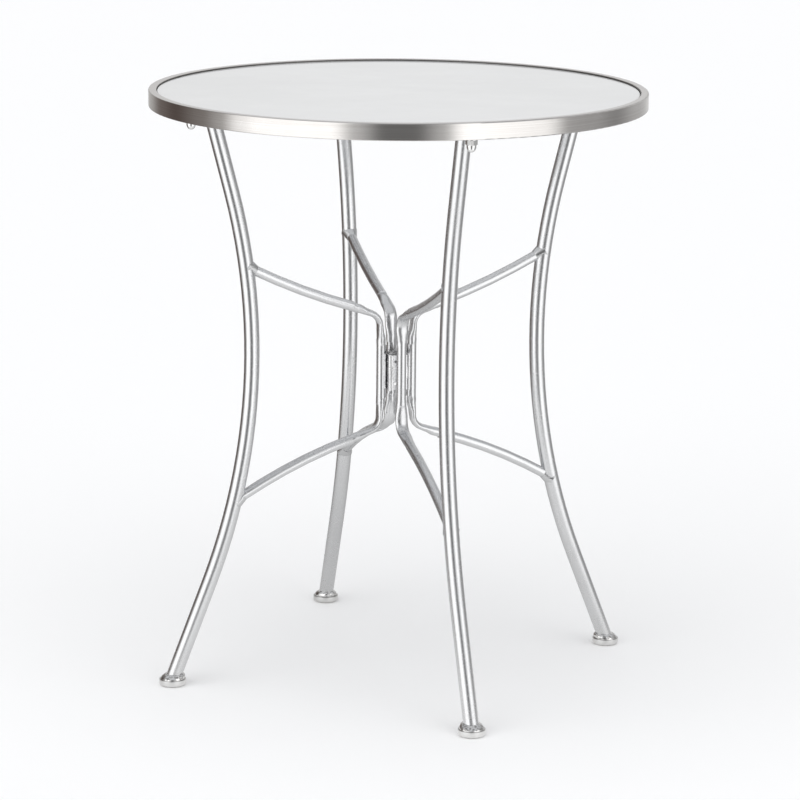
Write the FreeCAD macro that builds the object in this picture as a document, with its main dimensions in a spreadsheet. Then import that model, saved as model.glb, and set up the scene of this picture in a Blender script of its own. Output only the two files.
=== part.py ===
import FreeCAD, Part
import Sketcher
import os
import math

# A round bistro table.  A rolled rectangular ring frames a glass panel, and the
# base is four bowed tube legs, each with a C-shaped tube stretcher, hinged to
# each other round the centre so that the base folds flat once the top is off.
# The origin is on the floor under the centre, +Z is up, and the legs stand
# along -Y (front), +X (right), +Y (back) and -X (left).

doc = FreeCAD.newDocument("bistro_table")
sheet = doc.addObject("Spreadsheet::Sheet", "dims")

DIMENSIONS = [
    ("table_height", 735.0),
    ("ring_diameter", 610.0),
    ("ring_band", 20.0),
    ("ring_width", 10.0),
    ("ring_wall", 1.5),
    ("ring_rounding", 1.2),
    ("panel_thickness", 5.0),
    ("panel_recess", 2.0),
    ("panel_clearance", 0.5),
    ("panel_chamfer", 0.6),
    ("ledge_width", 14.0),
    ("ledge_thickness", 2.0),
    ("gasket_width", 8.0),
    ("gasket_thickness", 1.0),
    ("plate_margin", 15.0),
    ("plate_width", 40.0),
    ("plate_thickness", 3.0),
    ("plate_corner", 6.0),
    ("bolt_inset", 33.0),
    ("bolt_diameter", 8.0),
    ("bolt_clearance", 0.6),
    ("bolt_end_in_nut", 1.5),
    ("head_overhang", 4.5),
    ("head_thickness", 3.0),
    ("leg_diameter", 19.0),
    ("leg_wall", 1.5),
    ("leg_to_bolt", 25.6),
    ("leg_waist_height", 419.4),
    ("leg_bend_radius", 790.0),
    ("leg_lower_angle", 21.6),
    ("leg_upper_angle", 14.5),
    ("tab_thickness", 4.0),
    ("tab_side_margin", 3.0),
    ("tab_inner_margin", 3.0),
    ("tab_outer_margin", 14.5),
    ("washer_overhang", 4.5),
    ("washer_thickness", 1.6),
    ("nut_wall", 2.3),
    ("nut_hex_height", 6.5),
    ("nut_dome_height", 8.5),
    ("nut_dome_wall", 1.8),
    ("cap_flare", 7.0),
    ("cap_band", 7.0),
    ("cap_shoulder", 6.5),
    ("cap_top_wall", 2.75),
    ("cap_chamfer", 1.6),
    ("cap_floor", 4.0),
    ("glide_inset", 3.0),
    ("glide_thickness", 2.4),
    ("glide_proud", 1.2),
    ("stretcher_diameter", 12.5),
    ("stretcher_wall", 1.5),
    ("stretcher_upper_corner", 455.0),
    ("stretcher_lower_corner", 309.5),
    ("stretcher_upper_rise", 17.5),
    ("stretcher_lower_drop", 16.7),
    ("stretcher_upper_end", 524.5),
    ("stretcher_lower_end", 229.0),
    ("stretcher_bend_radius", 20.0),
    ("stretcher_bend_spread", 3.5),
    ("stretcher_bend_press", 4.5),
    ("stretcher_taper_length", 25.0),
    ("weld_width", 2.2),
    ("weld_length", 4.0),
    ("hinge_height", 44.0),
    ("pivot_offset", 12.0),
    ("leaf_thickness", 1.2),
    ("leaf_play", 0.15),
    ("leaf_end_gap", 0.15),
    ("knuckle_wall", 1.2),
    ("pin_diameter", 2.4),
    ("pin_play", 0.05),
    ("knuckle_gap", 0.3),
    ("pin_head_overhang", 0.7),
    ("pin_head_thickness", 0.8),
    ("screw_hole_diameter", 3.4),
    ("screw_hole_from_pin", 6.6),
    ("screw_hole_from_end", 8.0),
]

row = 1
for alias, value in DIMENSIONS:
    sheet.set("A%d" % row, alias)
    sheet.set("B%d" % row, repr(value))
    sheet.setAlias("B%d" % row, alias)
    row += 1

# Sizes that follow from the ones above, as formulas of the same sheet.
DERIVED = [
    ("ring_radius", "ring_diameter / 2"),
    ("ring_inner", "ring_diameter / 2 - ring_width"),
    ("ring_bottom", "table_height - ring_band"),
    ("panel_top", "table_height - panel_recess"),
    ("panel_bottom", "table_height - panel_recess - panel_thickness"),
    ("panel_radius", "ring_diameter / 2 - ring_width - panel_clearance"),
    ("ledge_top", "panel_bottom - gasket_thickness"),
    ("ledge_bottom", "panel_bottom - gasket_thickness - ledge_thickness"),
    ("ledge_inner", "ring_inner - ledge_width"),
    ("gasket_outer", "ring_inner - (ledge_width - gasket_width) / 2"),
    ("gasket_inner", "gasket_outer - gasket_width"),
    ("plate_top", "ring_bottom + plate_thickness"),
    ("bolt_radius_at", "ring_inner - bolt_inset"),
    ("plate_inner", "bolt_radius_at - plate_margin"),
    ("head_diameter", "bolt_diameter + 2 * head_overhang"),
    ("tab_bottom", "ring_bottom - tab_thickness"),
    ("washer_bottom", "tab_bottom - washer_thickness"),
    ("hex_bottom", "washer_bottom - nut_hex_height"),
    ("bolt_bottom", "hex_bottom - bolt_end_in_nut"),
    ("hole_diameter", "bolt_diameter + 2 * bolt_clearance"),
    ("washer_diameter", "bolt_diameter + 2 * washer_overhang"),
    ("nut_flats", "bolt_diameter + 2 * nut_wall"),
    ("nut_dome_diameter", "bolt_diameter + 2 * nut_dome_wall"),
    ("low_slope", "tan(leg_lower_angle * 1 deg)"),
    ("high_slope", "tan(leg_upper_angle * 1 deg)"),
    ("leg_top_x", "bolt_radius_at - leg_to_bolt"),
    ("high_tangent_z", "leg_waist_height + leg_bend_radius * sin(leg_upper_angle * 1 deg)"),
    ("high_tangent_x", "leg_top_x - (tab_bottom - high_tangent_z) * high_slope"),
    ("arc_centre", "high_tangent_x + leg_bend_radius * cos(leg_upper_angle * 1 deg)"),
    ("low_tangent_x", "arc_centre - leg_bend_radius * cos(leg_lower_angle * 1 deg)"),
    ("low_tangent_z", "leg_waist_height - leg_bend_radius * sin(leg_lower_angle * 1 deg)"),
    ("path_bottom", "-leg_diameter"),
    ("path_top", "tab_bottom + leg_diameter"),
    ("path_bottom_x", "low_tangent_x + (low_tangent_z - path_bottom) * low_slope"),
    ("path_top_x", "high_tangent_x + (path_top - high_tangent_z) * high_slope"),
    ("cap_bottom", "glide_proud"),
    ("cap_diameter", "leg_diameter + 2 * cap_flare"),
    ("cap_top_diameter", "leg_diameter + 2 * cap_top_wall"),
    ("glide_diameter", "cap_diameter - 2 * glide_inset"),
    ("cap_height", "cap_bottom + cap_band + cap_shoulder"),
    ("foot_x", "low_tangent_x + (low_tangent_z - cap_height / 2) * low_slope"),
    ("cap_inside", "cap_bottom + cap_floor"),
    ("tab_width", "leg_diameter + 2 * tab_side_margin"),
    ("tab_start", "leg_top_x - leg_diameter / 2 - tab_inner_margin"),
    ("tab_end", "bolt_radius_at + tab_outer_margin"),
    ("leaf_face", "pivot_offset + leaf_play + leaf_thickness"),
    ("leaf_width", "pivot_offset - leaf_end_gap"),
    ("stretcher_inset", "leaf_face + stretcher_diameter / 2"),
    ("stretcher_bend_width", "stretcher_diameter + stretcher_bend_spread"),
    ("stretcher_bend_depth", "stretcher_diameter - stretcher_bend_press"),
    ("hinge_middle", "(stretcher_upper_corner + stretcher_lower_corner) / 2"),
    ("barrel_diameter", "pin_diameter + 2 * knuckle_wall"),
    ("pin_head_diameter", "pin_diameter + 2 * pin_head_overhang"),
    ("hinge_bottom", "hinge_middle - hinge_height / 2"),
    ("knuckle_height", "(hinge_height - 2 * knuckle_gap) / 3"),
    ("middle_knuckle", "hinge_bottom + knuckle_height + knuckle_gap"),
]

for alias, formula in DERIVED:
    sheet.set("A%d" % row, alias)
    sheet.set("B%d" % row, "=" + formula)
    sheet.setAlias("B%d" % row, alias)
    row += 1

doc.recompute()


def size(alias):
    value = sheet.get(alias)
    return float(getattr(value, "Value", value))


SUBPARTS = []


def keep(obj, node):
    obj.Label = node
    SUBPARTS.append((node, obj))
    return obj


def turn(angle):
    axis = FreeCAD.Vector(0, 0, 1)
    return FreeCAD.Placement(FreeCAD.Vector(0, 0, 0), FreeCAD.Rotation(axis, angle))


def new_body(name, placement):
    body = doc.addObject("PartDesign::Body", name)
    body.Placement = placement
    return body


def new_sketch(body, name, role):
    sketch = body.newObject("Sketcher::SketchObject", name)
    for plane in body.Origin.OriginFeatures:
        if plane.Role == role:
            sketch.AttachmentSupport = [(plane, "")]
    sketch.MapMode = "FlatFace"
    return sketch


probe = doc.addObject("Spreadsheet::Sheet", "probe")


def value_of(formula):
    # What a formula of the sheet's sizes comes to, worked out beside the sheet.
    probe.set("A1", "=" + on_sheet(formula))
    probe.recompute()
    value = probe.get("A1")
    return float(getattr(value, "Value", value))


def on_sheet(formula):
    # The same formula, read from another object: each size gets its sheet.
    out = ""
    word = ""
    for letter in formula + " ":
        if letter.isalnum() or letter == "_":
            word += letter
            continue
        if word in ALIASES:
            out += "dims." + word
        else:
            out += word
        word = ""
        out += letter
    return out.strip()


ALIASES = set([pair[0] for pair in DIMENSIONS] + [pair[0] for pair in DERIVED])


def pin_vertex(sketch, line, x_formula, y_formula):
    # Ties the start point of a line to two formulas, measured from the origin.
    for kind, formula, axis in (("DistanceX", x_formula, -2), ("DistanceY", y_formula, -1)):
        value = value_of(formula)
        if abs(value) < 1e-9:
            sketch.addConstraint(Sketcher.Constraint("PointOnObject", line, 1, axis))
            continue
        if value > 0:
            index = sketch.addConstraint(Sketcher.Constraint(kind, -1, 1, line, 1, value))
            text = on_sheet(formula)
        else:
            index = sketch.addConstraint(Sketcher.Constraint(kind, line, 1, -1, 1, -value))
            text = "-(" + on_sheet(formula) + ")"
        sketch.setExpression("Constraints[%d]" % index, text)


def add_polygon(sketch, points):
    values = [(value_of(px), value_of(py)) for px, py in points]
    first = sketch.GeometryCount
    total = len(points)
    for i in range(total):
        ax, ay = values[i]
        bx, by = values[(i + 1) % total]
        start = FreeCAD.Vector(ax, ay, 0)
        end = FreeCAD.Vector(bx, by, 0)
        sketch.addGeometry(Part.LineSegment(start, end), False)
    for i in range(total):
        following = first + (i + 1) % total
        sketch.addConstraint(Sketcher.Constraint("Coincident", first + i, 2, following, 1))
    for i in range(total):
        pin_vertex(sketch, first + i, points[i][0], points[i][1])


def add_circle(sketch, x_formula, y_formula, diameter_formula):
    x = value_of(x_formula)
    y = value_of(y_formula)
    radius = value_of(diameter_formula) / 2
    centre = FreeCAD.Vector(x, y, 0)
    axis = FreeCAD.Vector(0, 0, 1)
    index = sketch.addGeometry(Part.Circle(centre, axis, radius), False)
    for kind, formula, line in (("DistanceX", x_formula, -2), ("DistanceY", y_formula, -1)):
        value = value_of(formula)
        if abs(value) < 1e-9:
            sketch.addConstraint(Sketcher.Constraint("PointOnObject", index, 3, line))
        else:
            con = sketch.addConstraint(Sketcher.Constraint(kind, -1, 1, index, 3, value))
            sketch.setExpression("Constraints[%d]" % con, on_sheet(formula))
    con = sketch.addConstraint(Sketcher.Constraint("Diameter", index, 2 * radius))
    sketch.setExpression("Constraints[%d]" % con, on_sheet(diameter_formula))
    return index


def add_axis(sketch, x_formula):
    # A construction line parallel to the vertical axis, to turn a profile about.
    x = value_of(x_formula)
    start = FreeCAD.Vector(x, 0, 0)
    end = FreeCAD.Vector(x, 50, 0)
    line = sketch.addGeometry(Part.LineSegment(start, end), True)
    sketch.addConstraint(Sketcher.Constraint("Vertical", line))
    sketch.addConstraint(Sketcher.Constraint("PointOnObject", line, 1, -1))
    sketch.addConstraint(Sketcher.Constraint("DistanceY", line, 1, line, 2, 50.0))
    index = sketch.addConstraint(Sketcher.Constraint("DistanceX", -1, 1, line, 1, x))
    sketch.setExpression("Constraints[%d]" % index, on_sheet(x_formula))


def turned_body(name, placement, loops, axis_formula=None):
    # A solid of revolution: loops of points in (radius, height), about the
    # table's axis or about a vertical line at the radius axis_formula.
    body = new_body(name, placement)
    sketch = new_sketch(body, name + "_profile", "XZ_Plane")
    if axis_formula is not None:
        add_axis(sketch, axis_formula)
    for points in loops:
        if axis_formula is not None:
            points = [(axis_formula + " + " + px, py) for px, py in points]
        add_polygon(sketch, points)
    revolution = body.newObject("PartDesign::Revolution", name + "_turned")
    revolution.Profile = sketch
    if axis_formula is None:
        revolution.ReferenceAxis = (sketch, ["V_Axis"])
    else:
        revolution.ReferenceAxis = (sketch, ["Axis0"])
    revolution.Angle = 360.0
    body.Tip = revolution
    return body


def padded_body(name, placement, points, bottom, height, circles=()):
    # A flat piece: an outline in plan with round holes, from bottom upwards.
    body = new_body(name, placement)
    sketch = new_sketch(body, name + "_outline", "XY_Plane")
    sketch.setExpression(".AttachmentOffset.Base.z", on_sheet(bottom))
    add_polygon(sketch, points)
    for x_formula, y_formula, diameter in circles:
        add_circle(sketch, x_formula, y_formula, diameter)
    pad = body.newObject("PartDesign::Pad", name + "_pad")
    pad.Profile = sketch
    pad.setExpression("Length", on_sheet(height))
    body.Tip = pad
    return body


def round_edges(body, name, chosen, radius):
    # Rounds the edges of the tip that chosen(edge) picks.
    doc.recompute()
    base = body.Tip
    names = []
    for i, edge in enumerate(base.Shape.Edges):
        if chosen(edge):
            names.append("Edge%d" % (i + 1))
    fillet = body.newObject("PartDesign::Fillet", name)
    fillet.Base = (base, names)
    fillet.setExpression("Radius", on_sheet(radius))
    body.Tip = fillet
    return fillet


def is_upright(edge, x_value):
    # A straight vertical edge at a given distance along X.
    if len(edge.Vertexes) != 2:
        return False
    a = edge.Vertexes[0].Point
    b = edge.Vertexes[1].Point
    if abs(a.x - b.x) > 1e-6 or abs(a.y - b.y) > 1e-6:
        return False
    return abs(a.x - x_value) < 1e-4


WINGS = [("front", -90.0), ("right", 0.0), ("back", 90.0), ("left", 180.0)]
CENTRE = turn(0.0)


# The top: ring, glass, ledge and gasket.

ring = turned_body("ring", CENTRE, [
    [("ring_inner", "ring_bottom"), ("ring_radius", "ring_bottom"),
     ("ring_radius", "table_height"), ("ring_inner", "table_height")],
    [("ring_inner + ring_wall", "ring_bottom + ring_wall"),
     ("ring_radius - ring_wall", "ring_bottom + ring_wall"),
     ("ring_radius - ring_wall", "table_height - ring_wall"),
     ("ring_inner + ring_wall", "table_height - ring_wall")]])


def on_ring_outside(edge):
    radius = getattr(edge.Curve, "Radius", 0.0)
    outer = abs(radius - size("ring_radius")) < 1e-4
    inner = abs(radius - size("ring_inner")) < 1e-4
    return outer or inner


round_edges(ring, "ring_rounded", on_ring_outside, "ring_rounding")
keep(ring, "table_ring")

panel = turned_body("panel", CENTRE, [
    [("0", "panel_bottom"), ("panel_radius - panel_chamfer", "panel_bottom"),
     ("panel_radius", "panel_bottom + panel_chamfer"),
     ("panel_radius", "panel_top - panel_chamfer"),
     ("panel_radius - panel_chamfer", "panel_top"), ("0", "panel_top")]])
keep(panel, "glass_panel")

ledge = turned_body("ledge", CENTRE, [
    [("ledge_inner", "ledge_bottom"), ("ring_inner", "ledge_bottom"),
     ("ring_inner", "ledge_top"), ("ledge_inner", "ledge_top")]])
keep(ledge, "panel_ledge")

gasket = turned_body("gasket", CENTRE, [
    [("gasket_inner", "ledge_top"), ("gasket_outer", "ledge_top"),
     ("gasket_outer", "panel_bottom"), ("gasket_inner", "panel_bottom")]])
keep(gasket, "panel_gasket")


def make_plate(wing, angle):
    # The plate under the rim, which ends on the ring's inner face.
    body = padded_body("plate_blank_" + wing, turn(angle), [
        ("plate_inner", "-plate_width / 2"), ("ring_radius", "-plate_width / 2"),
        ("ring_radius", "plate_width / 2"), ("plate_inner", "plate_width / 2")],
        "ring_bottom", "plate_thickness", [("bolt_radius_at", "0", "bolt_diameter")])
    corner = size("plate_inner")
    round_edges(body, "plate_corners_" + wing, lambda e: is_upright(e, corner), "plate_corner")
    bore = doc.addObject("Part::Cylinder", "rim_bore_" + wing)
    bore.setExpression("Radius", on_sheet("ring_inner"))
    bore.setExpression("Height", on_sheet("table_height"))
    plate = doc.addObject("Part::MultiCommon", "plate_" + wing)
    plate.Shapes = [body, bore]
    keep(plate, "rim_plate_" + wing)


def make_bolt(wing, angle):
    body = turned_body("bolt_body_" + wing, turn(angle), [
        [("0", "bolt_bottom"), ("bolt_diameter / 2 - 0.8", "bolt_bottom"),
         ("bolt_diameter / 2", "bolt_bottom + 0.8"), ("bolt_diameter / 2", "plate_top"),
         ("head_diameter / 2", "plate_top"),
         ("head_diameter / 2", "plate_top + head_thickness / 3"),
         ("head_diameter / 3", "plate_top + head_thickness"),
         ("0", "plate_top + head_thickness")]], "bolt_radius_at")
    keep(body, "rim_bolt_" + wing)


# One wing of the base, in its own plane: X outwards from the centre, Z up.

def leg_path(body, name):
    sketch = new_sketch(body, name, "XZ_Plane")
    bottom = FreeCAD.Vector(size("path_bottom_x"), size("path_bottom"), 0)
    low = FreeCAD.Vector(size("low_tangent_x"), size("low_tangent_z"), 0)
    high = FreeCAD.Vector(size("high_tangent_x"), size("high_tangent_z"), 0)
    top = FreeCAD.Vector(size("path_top_x"), size("path_top"), 0)
    centre = FreeCAD.Vector(size("arc_centre"), size("leg_waist_height"), 0)
    circle = Part.Circle(centre, FreeCAD.Vector(0, 0, 1), size("leg_bend_radius"))
    first = math.pi - math.radians(size("leg_upper_angle"))
    last = math.pi + math.radians(size("leg_lower_angle"))
    sketch.addGeometry(Part.LineSegment(bottom, low), False)
    sketch.addGeometry(Part.ArcOfCircle(circle, first, last), False)
    sketch.addGeometry(Part.LineSegment(high, top), False)
    # The arc starts at the upper tangent point and ends at the lower one.
    sketch.addConstraint(Sketcher.Constraint("Coincident", 0, 2, 1, 2))
    sketch.addConstraint(Sketcher.Constraint("Coincident", 1, 1, 2, 1))
    pin_vertex(sketch, 0, "path_bottom_x", "path_bottom")
    pin_vertex(sketch, 2, "high_tangent_x", "high_tangent_z")
    for line, point, px, py in ((0, 2, "low_tangent_x", "low_tangent_z"),
                                (2, 2, "path_top_x", "path_top")):
        for kind, formula in (("DistanceX", px), ("DistanceY", py)):
            value = value_of(formula)
            con = Sketcher.Constraint(kind, -1, 1, line, point, value)
            index = sketch.addConstraint(con)
            sketch.setExpression("Constraints[%d]" % index, on_sheet(formula))
    con = Sketcher.Constraint("Radius", 1, size("leg_bend_radius"))
    index = sketch.addConstraint(con)
    sketch.setExpression("Constraints[%d]" % index, on_sheet("leg_bend_radius"))
    return sketch


def leg_sweep(name, placement, hollow):
    # The bent tube, or the solid rod of the same outside, past both its ends.
    body = new_body(name, placement)
    path = leg_path(body, name + "_path")
    section = new_sketch(body, name + "_section", "XY_Plane")
    tilt = FreeCAD.Rotation(FreeCAD.Vector(0, -1, 0), size("leg_lower_angle"))
    start = FreeCAD.Vector(size("path_bottom_x"), 0, size("path_bottom"))
    section.AttachmentOffset = FreeCAD.Placement(start, tilt)
    section.setExpression(".AttachmentOffset.Base.x", on_sheet("path_bottom_x"))
    section.setExpression(".AttachmentOffset.Base.z", on_sheet("path_bottom"))
    section.setExpression(".AttachmentOffset.Rotation.Angle", on_sheet("leg_lower_angle"))
    add_circle(section, "0", "0", "leg_diameter")
    if hollow:
        add_circle(section, "0", "0", "leg_diameter - 2 * leg_wall")
    pipe = body.newObject("PartDesign::AdditivePipe", name + "_pipe")
    pipe.Profile = section
    pipe.Spine = (path, ["Edge1", "Edge2", "Edge3"])
    body.Tip = pipe
    return body


def slab(name, placement, bottom, top):
    # A box that holds everything between two heights, round one leg.
    box = doc.addObject("Part::Box", name)
    box.setExpression("Length", on_sheet("ring_diameter"))
    box.setExpression("Width", on_sheet("ring_diameter"))
    box.setExpression("Height", on_sheet(top + " - (" + bottom + ")"))
    corner = FreeCAD.Vector(0, -size("ring_diameter") / 2, value_of(bottom))
    local = FreeCAD.Placement(corner, FreeCAD.Rotation())
    box.Placement = placement.multiply(local)
    return box


def make_leg(wing, angle):
    tube = leg_sweep("leg_tube_" + wing, turn(angle), True)
    room = slab("leg_length_" + wing, turn(angle), "cap_inside", "tab_bottom")
    leg = doc.addObject("Part::MultiCommon", "leg_" + wing)
    leg.Shapes = [tube, room]
    keep(leg, "leg_" + wing)
    rod = leg_sweep("leg_rod_" + wing, turn(angle), False)
    return rod


def make_tab(wing, angle):
    body = padded_body("tab_body_" + wing, turn(angle), [
        ("tab_start", "-tab_width / 2"), ("tab_end", "-tab_width / 2"),
        ("tab_end", "tab_width / 2"), ("tab_start", "tab_width / 2")],
        "tab_bottom", "tab_thickness", [("bolt_radius_at", "0", "hole_diameter")])
    end = size("tab_end")
    start = size("tab_start")
    round_edges(body, "tab_end_" + wing, lambda e: is_upright(e, end), "tab_width * 0.42")
    round_edges(body, "tab_root_" + wing, lambda e: is_upright(e, start), "tab_width * 0.2")
    keep(body, "leg_tab_" + wing)


def make_washer(wing, angle):
    body = turned_body("washer_body_" + wing, turn(angle), [
        [("hole_diameter / 2", "washer_bottom"), ("washer_diameter / 2", "washer_bottom"),
         ("washer_diameter / 2", "tab_bottom"), ("hole_diameter / 2", "tab_bottom")]],
        "bolt_radius_at")
    keep(body, "washer_" + wing)


def make_nut(wing, angle):
    # A cap nut: a hexagon under the washer with a hollow dome below it.
    bore = "bolt_diameter / 2 + bolt_clearance / 2"
    body = turned_body("nut_body_" + wing, turn(angle), [
        [(bore, "washer_bottom"), (bore, "hex_bottom - bolt_end_in_nut - 1"),
         ("0", "hex_bottom - bolt_end_in_nut - 2.5"),
         ("0", "hex_bottom - nut_dome_height"),
         ("nut_dome_diameter * 0.16", "hex_bottom - nut_dome_height * 0.97"),
         ("nut_dome_diameter * 0.30", "hex_bottom - nut_dome_height * 0.83"),
         ("nut_dome_diameter * 0.41", "hex_bottom - nut_dome_height * 0.62"),
         ("nut_dome_diameter * 0.48", "hex_bottom - nut_dome_height * 0.36"),
         ("nut_dome_diameter * 0.50", "hex_bottom - nut_dome_height * 0.1"),
         ("nut_dome_diameter * 0.50", "washer_bottom")]], "bolt_radius_at")
    sketch = new_sketch(body, "nut_hexagon_" + wing, "XY_Plane")
    sketch.setExpression(".AttachmentOffset.Base.z", on_sheet("hex_bottom"))
    corner = "nut_flats / 2 / cos(30 deg)"
    points = []
    for i in range(6):
        along = "bolt_radius_at + " + corner + " * cos(%d deg)" % (60 * i)
        across = corner + " * sin(%d deg)" % (60 * i)
        points.append((along, across))
    add_polygon(sketch, points)
    add_circle(sketch, "bolt_radius_at", "0", "bolt_diameter + bolt_clearance")
    pad = body.newObject("PartDesign::Pad", "nut_pad_" + wing)
    pad.Profile = sketch
    pad.setExpression("Length", on_sheet("nut_hex_height"))
    body.Tip = pad
    keep(body, "cap_nut_" + wing)


def make_foot(wing, angle, rod):
    # A metal cap on the leg's end, with a plastic glide let into its bottom.
    band = "cap_bottom + cap_band"
    glide_top = "cap_bottom + glide_thickness - glide_proud"
    blank = turned_body("cap_blank_" + wing, turn(angle), [
        [("0", glide_top), ("glide_diameter / 2", glide_top),
         ("glide_diameter / 2", "cap_bottom"),
         ("cap_diameter / 2 - cap_chamfer", "cap_bottom"),
         ("cap_diameter / 2", "cap_bottom + cap_chamfer"),
         ("cap_diameter / 2", band),
         ("cap_diameter / 2 * 0.93 + cap_top_diameter / 2 * 0.07", band + " + cap_shoulder * 0.35"),
         ("cap_diameter / 2 * 0.62 + cap_top_diameter / 2 * 0.38", band + " + cap_shoulder * 0.78"),
         ("cap_top_diameter / 2", "cap_height"), ("0", "cap_height")]], "foot_x")
    room = slab("cap_socket_" + wing, turn(angle), "cap_inside", "cap_height + 1")
    socket = doc.addObject("Part::MultiCommon", "cap_bore_" + wing)
    socket.Shapes = [rod, room]
    cap = doc.addObject("Part::Cut", "cap_" + wing)
    cap.Base = blank
    cap.Tool = socket
    keep(cap, "foot_cap_" + wing)
    glide = turned_body("glide_body_" + wing, turn(angle), [
        [("0", "0"), ("glide_diameter / 2 - 0.8", "0"), ("glide_diameter / 2", "0.8"),
         ("glide_diameter / 2", glide_top), ("0", glide_top)]], "foot_x")
    keep(glide, "foot_glide_" + wing)


# The stretcher: a round tube bent to a C, pressed flat in its two bends.  Its
# upright stands near the table's axis, and its two arms bow out to the leg.

def along(angle):
    # The direction in the wing's plane at an angle above the horizontal.
    radians = math.radians(angle)
    return FreeCAD.Vector(math.cos(radians), 0, math.sin(radians))


def leg_centre(height):
    # The point of the leg's centre line at a height.
    if height < size("low_tangent_z"):
        x = size("low_tangent_x") + (size("low_tangent_z") - height) * size("low_slope")
    elif height > size("high_tangent_z"):
        x = size("high_tangent_x") + (height - size("high_tangent_z")) * size("high_slope")
    else:
        drop = size("leg_waist_height") - height
        radius = size("leg_bend_radius")
        x = size("arc_centre") - math.sqrt(radius * radius - drop * drop)
    return FreeCAD.Vector(x, 0, height)


def oval(centre, direction, wide, deep):
    # A closed oval across direction: wide along Y, deep in the wing's plane.
    across = FreeCAD.Vector(0, 1, 0)
    normal = FreeCAD.Vector(direction)
    normal.normalize()
    second = normal.cross(across)
    if normal.z < 0:
        second = second * -1
    poles = []
    for i in range(16):
        angle = 2 * math.pi * i / 16
        along_y = across * (math.cos(angle) * wide / 2)
        in_plane = second * (math.sin(angle) * deep / 2)
        poles.append(centre + along_y + in_plane)
    curve = Part.BSplineCurve()
    curve.interpolate(poles, PeriodicFlag=True)
    return Part.Wire([curve.toShape()])


def bend_stations(corner, first, second):
    # Points, directions and pressing from one taper's start to the other's end.
    radius = size("stretcher_bend_radius")
    taper = size("stretcher_taper_length")
    turn_angle = first.getAngle(second)
    start = corner - first * (radius * math.tan(turn_angle / 2))
    axis = first.cross(second)
    axis.normalize()
    centre = start + axis.cross(first) * radius
    stations = []
    for share in (0.0, 0.35, 0.7, 1.0):
        stations.append((start - first * (taper * (1 - share)), first, share))
    for i in range(1, 5):
        rotation = FreeCAD.Rotation(axis, math.degrees(turn_angle) * i / 4)
        point = centre + rotation.multVec(start - centre)
        stations.append((point, rotation.multVec(first), 1.0))
    end = stations[-1][0]
    for share in (0.7, 0.35, 0.0):
        stations.append((end + second * (taper * (1 - share)), second, share))
    return stations


def smooth(share):
    return share * share * (3 - 2 * share)


def bend_shape(stations, inset):
    # The pressed bend: ovals through the stations, blended into one another.
    diameter = size("stretcher_diameter") - 2 * inset
    wide = size("stretcher_bend_width") - 2 * inset
    deep = size("stretcher_bend_depth") - 2 * inset
    wires = []
    for point, direction, share in stations:
        blend = smooth(share)
        width = diameter + (wide - diameter) * blend
        depth = diameter + (deep - diameter) * blend
        wires.append(oval(point, direction, width, depth))
    return Part.makeLoft(wires, True, False)


def arm_arc(start, direction, end):
    # The arc that leaves start along direction and arrives at end: its centre,
    # the signed turn in degrees about +Y, and the direction it arrives in.
    chord = end - start
    turn_half = direction.getAngle(chord)
    axis = direction.cross(chord)
    axis.normalize()
    radius = chord.Length / (2 * math.sin(turn_half))
    centre = start + axis.cross(direction) * radius
    rotation = FreeCAD.Rotation(axis, math.degrees(2 * turn_half))
    return centre, axis, math.degrees(2 * turn_half), rotation.multVec(direction)


def stretcher_plan():
    # Both bends and both arms: everything about the centre line.
    inset = size("stretcher_inset")
    up = FreeCAD.Vector(0, 0, 1)
    plan = []
    for corner, angle, height, upright in (
            ("stretcher_upper_corner", size("stretcher_upper_rise"), "stretcher_upper_end", up),
            ("stretcher_lower_corner", -size("stretcher_lower_drop"), "stretcher_lower_end", -up)):
        point = FreeCAD.Vector(inset, 0, size(corner))
        stations = bend_stations(point, upright, along(angle))
        leg_end = leg_centre(size(height))
        centre, axis, sweep, arrival = arm_arc(stations[-1][0], stations[-1][1], leg_end)
        plan.append((stations, leg_end, centre, axis, sweep, arrival))
    return plan


def tube_shape(inset):
    # The whole C, with its section made smaller all round by inset.
    diameter = size("stretcher_diameter") - 2 * inset
    pieces = []
    starts = []
    for stations, leg_end, centre, axis, sweep, arrival in stretcher_plan():
        pieces.append(bend_shape(stations, inset))
        face = Part.Face(oval(stations[-1][0], stations[-1][1], diameter, diameter))
        pieces.append(face.revolve(centre, axis, sweep))
        starts.append(stations[0][0])
    run = starts[0] - starts[1]
    face = Part.Face(oval(starts[1], run, diameter, diameter))
    pieces.append(face.extrude(run))
    return pieces[0].multiFuse(pieces[1:])


def stretcher_shapes(rod):
    # The tube and its two weld beads, in the wing's plane, alike on every wing.
    outside = tube_shape(0.0)
    inside = tube_shape(size("stretcher_wall"))
    leg_solid = rod.Shape.copy()
    leg_solid.Placement = FreeCAD.Placement()
    shape = outside.cut(inside).cut(leg_solid)
    solids = sorted(shape.Solids, key=lambda solid: solid.Volume)
    shapes = [("stretcher_", solids[-1])]
    for name, item in zip(("weld_upper_", "weld_lower_"), stretcher_plan()):
        shapes.append((name, weld_bead(item[1], item[5] * -1, leg_solid, outside)))
    return shapes


def make_stretcher(wing, angle, shapes):
    for prefix, shape in shapes:
        feature = doc.addObject("Part::Feature", prefix + wing)
        feature.Shape = shape
        feature.Placement = turn(angle)
        keep(feature, prefix + wing)


def weld_bead(end, inward, leg_solid, outside):
    # A fillet of weld round the arm where it meets the leg.
    arm = size("stretcher_diameter") / 2
    reach = size("leg_diameter") / 2 + size("weld_length")
    wide = arm + size("weld_width") * 2
    cone = Part.makeCone(wide, arm + 0.3, reach, end, inward)
    bead = cone.cut(leg_solid).cut(outside)
    solids = sorted(bead.Solids, key=lambda solid: solid.Volume)
    return solids[-1]


# A butt hinge in one corner of the centre: its pin stands on two leaves.

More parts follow.
